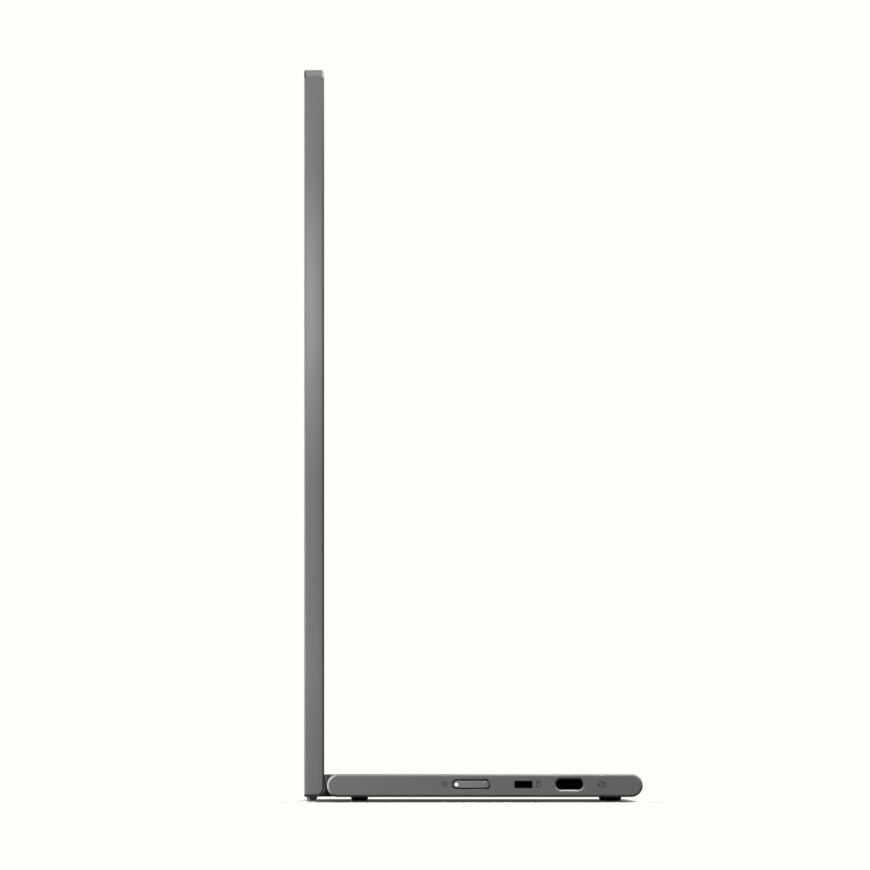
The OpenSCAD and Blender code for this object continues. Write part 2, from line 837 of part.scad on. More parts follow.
// Opening in the right wall, drawn as a slot, with a bevelled edge on the outside
module wall_slot(y, l, h, bevel) {
    translate([0, y, port_z]) {
        along_x(wall_in - 1, base_w / 2 + 1) slot(l, h);
        for (s = [-1, 1])
            translate([base_w / 2 - bevel, s * (l - h) / 2, 0])
                rotate([0, 90, 0]) cylinder(r1 = h / 2, r2 = h / 2 + bevel, h = bevel);
        translate([base_w / 2, 0, 0])
            along_y((h - l) / 2, (l - h) / 2)
                polygon([[-bevel, -h / 2], [0, -h / 2 - bevel], [0, h / 2 + bevel], [-bevel, h / 2]]);
    }
}

module posts(spots, r, low) {
    for (p = spots)
        translate([p.x, p.y, low]) cylinder(r = r, h = ceiling - low + 0.2);
}

module base_top_shell() {
    color(shell_grey) in_base() difference() {
        union() {
            difference() {
                base_solid();
                // Room for the barrel, open to the front
                box([-ear_in, -1, -1], [ear_in, notch_front, base_t + 1]);
                // Space for the boards, closed by the bottom plate
                translate([0, 0, -1])
                    linear_extrude(ceiling + 1)
                        rounded([-wall_in, pocket_front], [wall_in, base_d - rear_wall],
                            [for (i = [0:3]) pocket_corner_r]);
                // Tunnels into the ears for the base brackets
                for (s = [-1, 1])
                    on_side(s) translate([0, axis_off, axis_off]) {
                        bar_x(ear_in + ear_wall, wall_in, tunnel_r);
                        box([ear_in + ear_wall, 0, -tunnel_r],
                            [wall_in, pocket_front - axis_off + 2, tunnel_r]);
                    }
            }
            posts(post_spots, post_r, bottom_plate_t);
            posts(concat(main_spots, side_spots), board_post_r, board_top);
        }
        for (s = [-1, 1])
            on_side(s) {
                translate([0, axis_off, axis_off]) bar_x(ear_in - 1, ear_in + ear_wall + 1, seal_r);
                wall_slot(usb_y, usb_w + 2 * usb_gap, usb_h + 2 * usb_gap, usb_bevel);
                bracket_spots() cylinder(r = screw_r, h = arm_t + base_wall * 0.75);
            }
        wall_slot(button_y, button_l + 2 * key_gap, key_h + 2 * key_gap, dish_w);
        on_side(-1) wall_slot(button_y, rocker_l + 2 * key_gap, key_h + 2 * key_gap, dish_w);
        translate([0, lock_y, port_z])
            along_x(wall_in - 1, base_w / 2 + 1)
                rounded([-lock_w / 2, -lock_h / 2], [lock_w / 2, lock_h / 2],
                    [for (i = [0:3]) 0.3]);
        for (p = post_spots)
            translate([p.x, p.y, screw_head_t])
                cylinder(r = screw_r, h = base_screw_l + screw_play);
        for (p = concat(main_spots, side_spots))
            translate([p.x, p.y, board_z])
                cylinder(r = screw_r, h = board_t + board_screw_depth + screw_play);
    }
}

module base_bottom_plate() {
    color(shell_grey) in_base() difference() {
        linear_extrude(bottom_plate_t)
            rounded([plate_gap - wall_in, plate_front], [wall_in - plate_gap, plate_rear],
                [for (i = [0:3]) pocket_corner_r - plate_gap]);
        for (p = post_spots)
            translate([p.x, p.y, -1]) {
                cylinder(r = screw_r + 0.1, h = bottom_plate_t + 2);
                cylinder(r = screw_head_r + screw_play, h = 1 + screw_head_t);
            }
    }
}

module base_screws() {
    color(steel) in_base()
        for (p = post_spots)
            translate([p.x, p.y, screw_head_t]) screw(base_screw_l);
}

// Places of the right base bracket's screws
module bracket_spots() {
    side = 3;
    end = 4;
    for (i = [0:2])
        translate([leaf_from + side + i * (base_leaf_w - 2 * side) / 2,
            pocket_front + end + (i % 2) * (base_leaf_len - 2 * end), leaf_z]) children();
}

// Boss on the pin, an arm out of the ear and a leaf screwed under the top wall
module base_bracket(side) {
    color(steel) on_side(side) in_base() difference() {
        union() {
            translate([0, axis_off, axis_off]) {
                bar_x(boss_from, boss_to, boss_r);
                box([boss_from, 0, boss_r - arm_t], [boss_to, pocket_front - axis_off + 2, boss_r]);
            }
            box([leaf_from, pocket_front + 0.15, leaf_z],
                [boss_to, pocket_front + base_leaf_len, ceiling]);
        }
        translate([0, axis_off, axis_off])
            intersection() {
                bar_x(boss_from - 1, boss_to + 1, pin_r + 0.02);
                box([boss_from - 2, -base_t, -base_t], [boss_to + 2, base_t, pin_flat + 0.02]);
            }
        bracket_spots() translate([0, 0, -1]) cylinder(r = screw_r + 0.1, h = arm_t + 2);
    }
}

module base_hinge_bracket_left() {
    base_bracket(-1);
}

module base_hinge_bracket_right() {
    base_bracket(1);
}

// Steel pin with a collar against the boss, a flat inside it and a groove for its ring
module hinge_pin(side) {
    color(steel) on_side(side) on_axis() difference() {
        union() {
            bar_x(pin_from, pin_to, pin_r);
            bar_x(collar_from, boss_from, collar_r);
        }
        box([boss_from, -pin_r - 1, pin_flat], [pin_to + 1, pin_r + 1, pin_r + 1]);
        difference() {
            bar_x(clip_from, clip_from + clip_t, pin_r + 1);
            bar_x(clip_from - 1, clip_from + clip_t + 1, pin_r - 0.25);
        }
        if (side > 0)
            bar_x(pin_from - 1, pin_to + 1, pin_bore_r);
    }
}

module hinge_pin_left() {
    hinge_pin(-1);
}

module hinge_pin_right() {
    hinge_pin(1);
}

// Open rings that snap into the pins' grooves
module pin_retaining_rings() {
    color(steel)
        for (s = [-1, 1])
            on_side(s) on_axis() difference() {
                bar_x(clip_from + 0.03, clip_from + clip_t - 0.03, boss_r - 0.1);
                bar_x(clip_from - 1, clip_from + clip_t + 1, pin_r - 0.23);
                box([clip_from - 1, -0.8, -boss_r - 1], [clip_from + clip_t + 1, 0.8, 0]);
            }
}

module base_bracket_screws() {
    color(steel) in_base()
        for (s = [-1, 1])
            on_side(s) bracket_spots() screw(arm_t + base_wall * 0.7);
}

// Board along one side wall, with its screw holes
module board(side, w, spots) {
    color(board_green) in_base() difference() {
        on_side(side)
            box([board_edge - w, board_front, board_z], [board_edge, board_rear, board_top]);
        for (p = spots)
            translate([p.x, p.y, board_z - 1]) cylinder(r = screw_r + 0.1, h = board_t + 2);
    }
}

module main_board() {
    board(1, main_board_w, main_spots);
}

module side_board() {
    board(-1, side_board_w, side_spots);
}

// Chips and coils: place from the board's outer edge and front, size and height
module board_chips() {
    chips = [
        [20, 30, 6, 6, 0.9], [44, 32, 9, 11, 1], [30, 46, 7, 4, 0.8], [56, 22, 4, 4, 1.6],
        [14, 20, 3, 5, 0.8], [24, 14, 4, 4, 1.6]
    ];
    color(black) in_base() {
        for (c = chips)
            translate([board_edge - c[0], board_front + c[1], board_top])
                box([-c[2] / 2, -c[3] / 2, 0], [c[2] / 2, c[3] / 2, c[4]]);
        translate([18 - board_edge, board_front + 30, board_top])
            box([-3, -3, 0], [3, 3, 0.9]);
    }
}

// Thin can over the scaler, open towards the board
module shield_can() {
    w = 22;
    d = 16;
    h = 1.6;
    wall = 0.2;
    color(steel) in_base() translate([board_edge - 31 - w, board_front + 2, board_top]) difference() {
        cube([w, d, h]);
        translate([wall, wall, -1]) cube([w - 2 * wall, d - 2 * wall, h - wall + 1]);
    }
}

// Flat cable between the boards, in a socket at each end
module board_link_cable() {
    y = board_front + 32;
    z = board_top + 0.5;
    w = 12;
    socket_w = w + 2;
    socket_l = 3;
    lap = 1; // from a board's edge to its socket
    from = side_board_w - board_edge - lap;
    to = board_edge - main_board_w + lap;
    color("ivory") in_base() translate([0, y, 0]) {
        box([from, -w / 2, z], [to, w / 2, z + 0.3]);
        box([from - socket_l, -socket_w / 2, board_top], [from, socket_w / 2, board_top + 1.2]);
        box([to, -socket_w / 2, board_top], [to + socket_l, socket_w / 2, board_top + 1.2]);
    }
}

module board_screws() {
    color(steel) in_base()
        for (p = concat(main_spots, side_spots))
            translate([p.x, p.y, board_z]) screw(board_t + board_screw_depth);
}

// Steel shell of a port, open outwards, that lies on the board
module usb_receptacle(side) {
    out = base_w / 2 - usb_inset;
    color(dark_grey) on_side(side) in_base() translate([0, usb_y, port_z]) {
        difference() {
            along_x(out - usb_len, out) slot(usb_w, usb_h);
            along_x(out - usb_len + 1, out + 1)
                slot(usb_w - 2 * usb_shell_t, usb_h - 2 * usb_shell_t);
        }
    }
}

module usb_c_receptacle_right() {
    usb_receptacle(1);
}

module usb_c_receptacle_left() {
    usb_receptacle(-1);
}

module usb_c_tongues() {
    out = base_w / 2 - usb_inset;
    w = usb_w - 2 * usb_shell_t - 1.64;
    t = 0.7;
    color(black) in_base()
        for (s = [-1, 1])
            on_side(s) translate([0, usb_y, port_z])
                along_x(out - usb_len + 1, out - 0.6)
                    rounded([-w / 2, -t / 2], [w / 2, t / 2], [for (i = [0:3]) 0.2]);
}

// Steel angle behind the lock slot, hung from the top wall
module lock_plate() {
    half = lock_w / 2 + 4;
    t = 1;
    flange = 7;
    low = port_z - lock_h / 2 - 0.85;
    color(steel) in_base() translate([0, lock_y, 0]) difference() {
        union() {
            box([wall_in - t, -half, low], [wall_in, half, ceiling]);
            box([wall_in - flange, -half, ceiling - 0.8], [wall_in, half, ceiling]);
        }
        translate([0, 0, port_z])
            along_x(wall_in - t - 1, wall_in + 1)
                square([lock_w + 0.2, lock_h + 0.2], center = true);
    }
}

key_face = base_w / 2 - key_step;
flange_out = wall_in - 0.05;
stem_end = flange_out - flange_t - 0.8;
switch_l = 3;
switch_knob = 0.4;

// Small switch on the board's edge, whose knob ends at x
module switch(x, w) {
    box([x - switch_knob - switch_l, -w / 2, board_top], [x - switch_knob, w / 2, port_z + 0.9]);
    translate([0, 0, port_z]) bar_x(x - switch_knob, x, 0.6);
}

module power_switch() {
    color(black) in_base()
        translate([0, button_y, 0]) switch(stem_end - button_travel - switch_gap, 4.2);
}

rocker_pad = rocker_l * 0.32; // the rocker presses its switches this far from its middle
rocker_inner = wall_in - rocker_play - flange_t;

module menu_switches() {
    color(black) on_side(-1) in_base()
        for (s = [-1, 1])
            translate([0, button_y + s * rocker_pad, 0]) switch(rocker_inner - 0.6, 3.6);
}

// From the board's socket, forward into the ear and through the hollow pin
module base_cable() {
    b = cable_turn;
    color(black) in_base() translate([0, axis_off, axis_off]) {
        translate([cable_run_x, b, 0])
            rotate([-90, 0, 0]) cylinder(r = cable_r, h = socket_front - axis_off - b);
        translate([cable_run_x - b, b, 0]) quarter_bend([0, 0, -90]);
        bar_x(pin_from, cable_run_x - b, cable_r);
    }
}

socket_front = board_front - 1;

module cable_socket() {
    color("ivory") in_base()
        box([wall_in - 5.2, socket_front, board_top], [wall_in - 0.1, board_front + 4, axis_off + 1.2]);
}

// Between the boards and behind the front posts, on the bottom plate
module weight_plate() {
    half = board_edge - max(main_board_w, side_board_w) - 13;
    front = front_post_y + post_r + 6.6;
    color(steel) in_base()
        box([-half, front, bottom_plate_t], [half, board_rear - 12, bottom_plate_t + weight_t]);
}

// Pad with round ends that tapers down to the floor
module base_foot() {
    r = foot_d / 2;
    run = foot_l / 2 - r;
    side = [[0, 0], [r, 0], [r - foot_taper, -foot_h], [0, -foot_h]];
    along_x(-run, run)
        polygon([[-r, 0], [foot_taper - r, -foot_h], [r - foot_taper, -foot_h], [r, 0]]);
    for (s = [-1, 1])
        translate([s * run, 0, 0])
            rotate([0, 0, s > 0 ? -90 : 90])
                rotate_extrude(angle = 180) polygon(side);
}

module front_feet() {
    color(black) in_base()
        for (s = [-1, 1])
            translate([s * foot_x, front_foot_y, 0]) base_foot();
}

module rear_feet() {
    color(black) in_base()
        for (s = [-1, 1])
            translate([s * foot_x, base_d - rear_foot_y, 0]) base_foot();
}

// ---- Keys ----

// Cap, flange and stem of the power button, with the hole for its light
module power_button() {
    color(shell_grey) in_base() translate([0, button_y, port_z]) difference() {
        union() {
            along_x(flange_out - flange_t, key_face) slot(button_l, key_h);
            along_x(flange_out - flange_t, flange_out)
                slot(button_l + 2 * flange_lip, key_h + 2 * flange_lip);
            box([stem_end, -1.2, -0.9], [flange_out - flange_t, 1.2, 0.9]);
        }
        translate([0, -led_offset, 0]) bar_x(flange_out - flange_t - 1, key_face + 1, led_r + 0.02);
    }
}

// Light pipe through the button, with a head behind the flange
module power_led_lens() {
    color("white") in_base() translate([0, button_y - led_offset, port_z]) {
        bar_x(flange_out - flange_t, key_face, led_r);
        bar_x(flange_out - flange_t - 0.6, flange_out - flange_t, led_r + 0.35);
    }
}

// Rocking key on a rib in its middle, which rests against the wall
module menu_rocker() {
    inner = rocker_inner;
    rib_w = 0.7;
    rib_in = key_h / 2 + key_gap + 0.05;
    rib_out = key_h / 2 + flange_lip;
    color(shell_grey) on_side(-1) in_base() translate([0, button_y, port_z]) {
        along_x(inner, key_face) slot(rocker_l, key_h);
        along_x(inner, inner + flange_t)
            slot(rocker_l + 2 * flange_lip, key_h + 2 * flange_lip);
        box([inner, -rib_w / 2, -rib_out], [wall_in - 0.03, rib_w / 2, -rib_in]);
        box([inner, -rib_w / 2, rib_in], [wall_in - 0.03, rib_w / 2, rib_out]);
    }
}

display_back_cover();
display_bezel();
bezel_tape();
lcd_panel();
optical_films();
light_guide_plate();
reflector_sheet();
panel_frame();
panel_back_plate();
backlight_led_bar();
panel_driver_board();
panel_board_chips();
panel_flexes();
panel_connector();
panel_foam_strips();
display_hinge_bracket_left();
display_hinge_bracket_right();
friction_sleeve_left();
friction_sleeve_right();
hinge_cover_upper();
hinge_cover_lower();
hinge_bracket_screws();
hinge_cover_screws();
hinge_cover_fixing_screws();
display_cable();
chin_feet();
base_top_shell();
base_bottom_plate();
base_screws();
base_hinge_bracket_left();
base_hinge_bracket_right();
hinge_pin_left();
hinge_pin_right();
pin_retaining_rings();
base_bracket_screws();
main_board();
board_chips();
shield_can();
side_board();
board_link_cable();
board_screws();
usb_c_receptacle_right();
usb_c_receptacle_left();
usb_c_tongues();
lock_plate();
power_switch();
menu_switches();
base_cable();
cable_socket();
weight_plate();
front_feet();
rear_feet();
power_button();
power_led_lens();
menu_rocker();
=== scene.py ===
import math

import bmesh
import bpy
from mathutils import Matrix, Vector


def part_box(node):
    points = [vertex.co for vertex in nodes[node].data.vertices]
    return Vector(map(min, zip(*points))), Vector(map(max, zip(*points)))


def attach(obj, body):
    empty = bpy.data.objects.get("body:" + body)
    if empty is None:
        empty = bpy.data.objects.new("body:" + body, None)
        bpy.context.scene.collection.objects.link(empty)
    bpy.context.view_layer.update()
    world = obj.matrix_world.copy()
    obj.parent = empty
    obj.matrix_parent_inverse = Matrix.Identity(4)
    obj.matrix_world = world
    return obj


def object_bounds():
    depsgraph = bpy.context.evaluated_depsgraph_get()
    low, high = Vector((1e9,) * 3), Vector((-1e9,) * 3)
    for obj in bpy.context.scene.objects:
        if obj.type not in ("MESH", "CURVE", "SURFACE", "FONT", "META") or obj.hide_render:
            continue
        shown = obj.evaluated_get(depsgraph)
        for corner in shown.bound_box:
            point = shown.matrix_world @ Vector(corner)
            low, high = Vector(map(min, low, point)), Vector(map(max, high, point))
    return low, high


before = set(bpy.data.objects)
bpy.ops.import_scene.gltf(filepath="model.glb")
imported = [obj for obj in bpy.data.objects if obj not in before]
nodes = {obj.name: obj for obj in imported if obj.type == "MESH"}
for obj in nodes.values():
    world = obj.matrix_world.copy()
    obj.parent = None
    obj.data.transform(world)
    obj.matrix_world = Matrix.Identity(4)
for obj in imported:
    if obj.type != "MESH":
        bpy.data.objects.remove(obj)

MM = 0.001
cad_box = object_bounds()

# ---- Places, from the frame ----

base_low, base_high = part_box("base_top_shell")
slab_low, slab_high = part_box("display_back_cover")
side_x = base_high.x  # the right side face, which the photograph shows
gap_y = (slab_high.y + base_low.y) / 2  # between the slab and the base
middle = (cad_box[0] + cad_box[1]) / 2

# The photograph: 3 pixels are a millimetre on the right side face
PHOTO_SIDE = 870
PIXEL = MM / 3
ZERO_X = 473.5  # where Y = 0 lies
ZERO_Y = 800.95  # where the floor lies


def at_pixel(px, py):
    """Point of the right side face that lies at a pixel of the photograph."""
    return Vector((side_x, (px - ZERO_X) * PIXEL, (ZERO_Y - py) * PIXEL))


def new_object(name, data):
    """Object of the scene with the given data."""
    item = bpy.data.objects.new(name, data)
    bpy.context.scene.collection.objects.link(item)
    return item


def new_piece(name, shape, material):
    """Object with the given bmesh as its mesh."""
    data = bpy.data.meshes.new(name)
    shape.to_mesh(data)
    shape.free()
    data.materials.append(material)
    return new_object(name, data)


# ---- Camera ----

# A very long lens, as the photograph shows no perspective. It stands level with the base's
# middle and in line with the slab's back, so that no far edge shows past a near one.
LENS = 1650
SENSOR = 36
LEVEL_WITH = (323, 785.3)
CLIP_START, CLIP_END = 1, 40


def make_camera():
    data = bpy.data.cameras.new("camera")
    data.lens = LENS
    data.sensor_width = SENSOR
    data.clip_start = CLIP_START
    data.clip_end = CLIP_END
    camera = new_object("camera", data)
    distance = PHOTO_SIDE * PIXEL * LENS / SENSOR
    aim = at_pixel(PHOTO_SIDE / 2, PHOTO_SIDE / 2)
    level = at_pixel(*LEVEL_WITH)
    camera.location = (side_x + distance, level.y, level.z)
    camera.rotation_euler = (aim - camera.location).to_track_quat("-Z", "Y").to_euler()
    bpy.context.scene.camera = camera


# ---- Shader nodes ----

def add(tree, kind, **sockets):
    """New node of a kind, with values on its sockets."""
    node = tree.nodes.new(kind)
    for name, value in sockets.items():
        node.inputs[name.replace("_", " ")].default_value = value
    return node


def maths(tree, operation, first, second=None):
    """Result of a Math node. first is an output, and second an output or a number."""
    node = tree.nodes.new("ShaderNodeMath")
    node.operation = operation
    tree.links.new(first, node.inputs[0])
    if isinstance(second, (int, float)):
        node.inputs[1].default_value = second
    elif second is not None:
        tree.links.new(second, node.inputs[1])
    return node.outputs["Value"]


def vector_maths(tree, operation, first, second=None, result="Vector"):
    """Result of a Vector Math node. first is an output, and second a vector."""
    node = tree.nodes.new("ShaderNodeVectorMath")
    node.operation = operation
    tree.links.new(first, node.inputs[0])
    if second:
        node.inputs[1].default_value = second
    return node.outputs[result]


def product(tree, first, *others):
    for other in others:
        first = maths(tree, "MULTIPLY", first, other)
    return first


def size_of(tree, value):
    """The value without its sign."""
    return maths(tree, "ABSOLUTE", value)


def noise(tree, coords, size_mm, detail=2.0):
    """Noise whose spots are about size_mm wide."""
    node = add(tree, "ShaderNodeTexNoise", Scale=1 / (size_mm * MM), Detail=detail)
    tree.links.new(coords, node.inputs["Vector"])
    return node.outputs["Fac"]


def spread(tree, value, low, high):
    """Noise stretched to run from low to high."""
    node = add(tree, "ShaderNodeMapRange", From_Min=0.3, From_Max=0.7, To_Min=low, To_Max=high)
    tree.links.new(value, node.inputs["Value"])
    return node.outputs["Result"]


def ramp(tree, value, start, end):
    """0 up to start, 1 from end on, and straight between them."""
    node = add(tree, "ShaderNodeMapRange", From_Min=start, From_Max=end)
    tree.links.new(value, node.inputs["Value"])
    return node.outputs["Result"]


def band(tree, value, low, high, fade):
    """1 from low to high, and 0 beyond them by more than fade."""
    return product(
        tree, ramp(tree, value, low - fade, low), ramp(tree, value, high + fade, high)
    )


def own_axes(tree, output):
    """X, Y and Z of a texture coordinate of the object itself."""
    parts = tree.nodes.new("ShaderNodeSeparateXYZ")
    coords = tree.nodes.new("ShaderNodeTexCoord")
    tree.links.new(coords.outputs[output], parts.inputs["Vector"])
    return [parts.outputs[axis] for axis in "XYZ"]


# ---- Where rims and ends get painted highlights and painted shade ----

RIM_W = 0.9 * MM  # how far the rounded rim of a side face reaches inwards
FLAT_SKIN = 0.06 * MM  # what of that depth is as good as flat
RIM_FADE = 0.3 * MM
LINE_FADE = 0.06 * MM  # how soft the border of a narrow line is

HIGHLIGHT_Y = base_low.y + 1.8 * MM  # where the painted highlight on the rim of the base's end begins to fade
HIGHLIGHT_Z = base_high.z - 1.2 * MM
RIM_END_Z, RIM_FULL_Z = 230 * MM, 100 * MM  # heights between which the painted shade on the slab's rim deepens
SOLE_H = 0.8 * MM
CORNER_W, CORNER_H = 3 * MM, 2.4 * MM  # the slab's top corners
CORNER_FADE = 0.4 * MM
TOP_ROUND_Z = slab_high.z - 1.3 * MM  # where the slab's side faces begin to round off
STRIP_Z = 0.3 * MM

# Pixels of the photograph
STRIP = (307.8, 309.5)
NECK_BAND, NECK_LOW, NECK_HIGH = (324.9, 326.9), 791, 779
SLOT_LOW, SLOT_HIGH = (449, 791), (493, 777)

# Directions of Y and Z in the plane of the side faces
DOWN_AND_BACK = (0.6, -0.8)
STEEPLY_DOWN = (0.35, -0.94)


def on_side(tree, out):
    """1 on the side faces and their rims, where out is how far from the middle they lie."""
    return ramp(tree, out, side_x - RIM_W - RIM_FADE, side_x - RIM_W)


def on_rim(tree, out):
    """1 on the rounded rims of the side faces alone."""
    off_face = ramp(tree, out, side_x - FLAT_SKIN / 2, side_x - FLAT_SKIN)
    return product(tree, on_side(tree, out), off_face)


def painted_highlight_end(tree):
    """1 on the rim of the base's end beside the hinge, which gets a painted highlight."""
    x, y, z = own_axes(tree, "Object")
    return product(
        tree,
        on_rim(tree, size_of(tree, x)),
        maths(tree, "GREATER_THAN", y, gap_y),
        ramp(tree, y, HIGHLIGHT_Y + 2 * MM, HIGHLIGHT_Y),
        ramp(tree, z, HIGHLIGHT_Z + 1 * MM, HIGHLIGHT_Z),
    )


def painted_shade_sole(tree):
    """1 on the lowest part of the slab's side faces, which gets painted shade."""
    x, y, z = own_axes(tree, "Object")
    return product(
        tree,
        on_side(tree, size_of(tree, x)),
        maths(tree, "LESS_THAN", y, gap_y),
        ramp(tree, z, slab_low.z + SOLE_H + 0.3 * MM, slab_low.z + SOLE_H),
    )


def top_corner(tree, sign):
    """1 on the slab's rounded top corners, where they face back (sign 1) or front (-1). The back
    ones get a painted highlight and the front ones painted shade.
    """
    x, _, z = own_axes(tree, "Object")
    facing = own_axes(tree, "Normal")[1]
    return product(
        tree,
        ramp(tree, size_of(tree, x), side_x - CORNER_W - CORNER_FADE, side_x - CORNER_W),
        ramp(tree, z, slab_high.z - CORNER_H - CORNER_FADE, slab_high.z - CORNER_H),
        ramp(tree, facing, sign * 0.1, sign * 0.4),
        ramp(tree, size_of(tree, facing), 0.99, 0.95),  # not the flat faces
    )


def painted_shade_front_corner(tree):
    return top_corner(tree, -1)


def painted_highlight_back_corner(tree):
    return top_corner(tree, 1)


def turned_to(tree, direction):
    """How far a rim is turned towards a direction in the plane of the side faces, up to 1."""
    normal = tree.nodes.new("ShaderNodeTexCoord").outputs["Normal"]
    across = vector_maths(tree, "MULTIPLY", normal, (0, 1, 1))
    across = vector_maths(tree, "NORMALIZE", across)
    return vector_maths(tree, "DOT_PRODUCT", across, (0, *direction), "Value")


def painted_shade_slab_rim(tree):
    """1 on the slab's low rims that face down and back, which get painted shade."""
    x, y, z = own_axes(tree, "Object")
    return product(
        tree,
        on_rim(tree, size_of(tree, x)),
        maths(tree, "LESS_THAN", y, gap_y),
        ramp(tree, turned_to(tree, DOWN_AND_BACK), 0.03, 0.12),
        ramp(tree, z, RIM_END_Z, RIM_FULL_Z),
    )


def painted_shade_base_rim(tree):
    """1 on the base's rims that face down, which get painted shade."""
    x, y, _ = own_axes(tree, "Object")
    return product(
        tree,
        on_rim(tree, size_of(tree, x)),
        maths(tree, "GREATER_THAN", y, gap_y),
        ramp(tree, turned_to(tree, STEEPLY_DOWN), 0.1, 0.75),
    )


def painted_shade_top_round(tree):
    """1 along the top of the slab's rounded side faces, which gets painted shade that darkens
    upwards.
    """
    x, _, z = own_axes(tree, "Object")
    return product(
        tree,
        ramp(tree, size_of(tree, x), side_x - CORNER_W - CORNER_FADE, side_x - CORNER_W),
        ramp(tree, z, TOP_ROUND_Z, TOP_ROUND_Z + 1.1 * MM),
    )


def painted_shade_slot_lip(tree):
    """1 on the lower lip of the power button's slot, which gets painted shade."""
    _, y, z = own_axes(tree, "Object")
    low, high = at_pixel(*SLOT_LOW), at_pixel(*SLOT_HIGH)
    return product(
        tree,
        band(tree, y, low.y, high.y, LINE_FADE),
        band(tree, z, low.z, high.z, LINE_FADE),
        ramp(tree, own_axes(tree, "Normal")[2], 0.1, 0.3),
    )


def painted_highlight_upper_bevel(tree):
    """1 on bevels that face up, which get a painted highlight."""
    return ramp(tree, own_axes(tree, "Normal")[2], 0.2, 0.4)


def painted_highlight_neck(tree):
    """1 on the painted highlight band of the hinge cover's neck, which fades downwards."""
    _, y, z = own_axes(tree, "Object")
    start, end = (at_pixel(px, 0).y for px in NECK_BAND)
    return product(
        tree,
        end_face(tree),
        band(tree, y, start, end, LINE_FADE),
        ramp(tree, z, at_pixel(0, NECK_LOW).z, at_pixel(0, NECK_HIGH).z),
    )


def end_face(tree):
    """1 on the end faces."""
    return ramp(tree, size_of(tree, own_axes(tree, "Normal")[0]), 0.95, 0.98)


def bevelled(tree):
    """1 on bevels between an end face and a long face."""
    out = size_of(tree, own_axes(tree, "Normal")[0])
    return product(tree, ramp(tree, out, 0.3, 0.5), ramp(tree, out, 0.95, 0.85))


def painted_highlight_strip(tree):
    """1 on the narrow painted highlight strip near the front of the chin feet's end faces."""
    _, y, z = own_axes(tree, "Object")
    start, end = (at_pixel(px, 0).y for px in STRIP)
    return product(
        tree,
        end_face(tree),
        band(tree, y, start, end, LINE_FADE),
        ramp(tree, z, STRIP_Z, STRIP_Z + 0.15 * MM),
    )


# ---- Materials ----

# The vector sockets of a Mix node, whose names aren't unique
MIX_FIRST, MIX_SECOND, MIX_RESULT = 4, 5, 1
SLAB_CROWN_R = 32 * MM  # radius of the slight crown across the slab's side faces


def slab_crown(tree, place):
    """Normal of side faces that are crowned from the slab's front to its back."""
    centre = (slab_low.y + slab_high.y) / 2
    half = (slab_high.y - slab_low.y) / 2
    parts = tree.nodes.new("ShaderNodeSeparateXYZ")
    tree.links.new(place, parts.inputs["Vector"])
    across = add(tree, "ShaderNodeMapRange", From_Min=centre - half, From_Max=centre + half,
                 To_Min=-half, To_Max=half)
    tree.links.new(parts.outputs["Y"], across.inputs["Value"])
    square = product(tree, across.outputs["Result"], across.outputs["Result"])
    bump = add(tree, "ShaderNodeBump", Strength=1.0, Distance=-0.5 / SLAB_CROWN_R)
    tree.links.new(square, bump.inputs["Height"])
    return bump.outputs["Normal"]


def with_edges(tree, colour, edges):
    """Output of the colour, with each edge's painted highlight or painted shade where that edge
    is.
    """
    below = None
    for where, other in edges:
        both = tree.nodes.new("ShaderNodeMix")
        both.data_type = "VECTOR"
        both.inputs[MIX_FIRST].default_value = colour
        both.inputs[MIX_SECOND].default_value = other
        tree.links.new(where(tree), both.inputs["Factor"])
        if below:
            tree.links.new(below, both.inputs[MIX_FIRST])
        below = both.outputs[MIX_RESULT]
    return below


def surface(name, colour, roughness, metallic=0.0, grain=0.2, height=0.002, mottle=0.05,
            drift=25.0, drift_share=0.04, rough_share=0.12, stretch=(1, 1, 1), crown=None,
            edges=(), **sockets):
    """Material with a fine grain in its colour, roughness and height, and a slow drift.

    grain and drift are the sizes of the spots and height the grain's depth, in mm.
    crown makes the normal that the grain lies on. edges are pairs of where an edge has
    another colour, and that colour.
    """
    material = bpy.data.materials.new(name)
    material.use_nodes = True
    tree = material.node_tree
    shader = tree.nodes["Principled BSDF"]
    shader.inputs["Metallic"].default_value = metallic
    for socket, value in sockets.items():
        shader.inputs[socket.replace("_", " ")].default_value = value

    place = tree.nodes.new("ShaderNodeTexCoord").outputs["Object"]
    scale = add(tree, "ShaderNodeMapping", Scale=stretch)
    tree.links.new(place, scale.inputs["Vector"])
    fine = noise(tree, scale.outputs["Vector"], grain, 3.0)
    slow = noise(tree, place, drift)

    tint = tree.nodes.new("ShaderNodeVectorMath")
    tint.operation = "SCALE"
    tint.inputs[0].default_value = colour
    if edges:
        tree.links.new(with_edges(tree, colour, edges), tint.inputs[0])
    level = product(
        tree,
        spread(tree, fine, 1 - mottle, 1 + mottle),
        spread(tree, slow, 1 - drift_share, 1 + drift_share),
    )
    tree.links.new(level, tint.inputs["Scale"])
    tree.links.new(tint.outputs["Vector"], shader.inputs["Base Color"])
    tree.links.new(
        spread(tree, fine, roughness * (1 - rough_share), roughness * (1 + rough_share)),
        shader.inputs["Roughness"],
    )
    bump = add(tree, "ShaderNodeBump", Strength=1.0, Distance=height * MM)
    tree.links.new(fine, bump.inputs["Height"])
    if crown:
        tree.links.new(crown(tree, place), bump.inputs["Normal"])
    tree.links.new(bump.outputs["Normal"], shader.inputs["Normal"])
    return material


def grey(level):
    return (level, level, level)


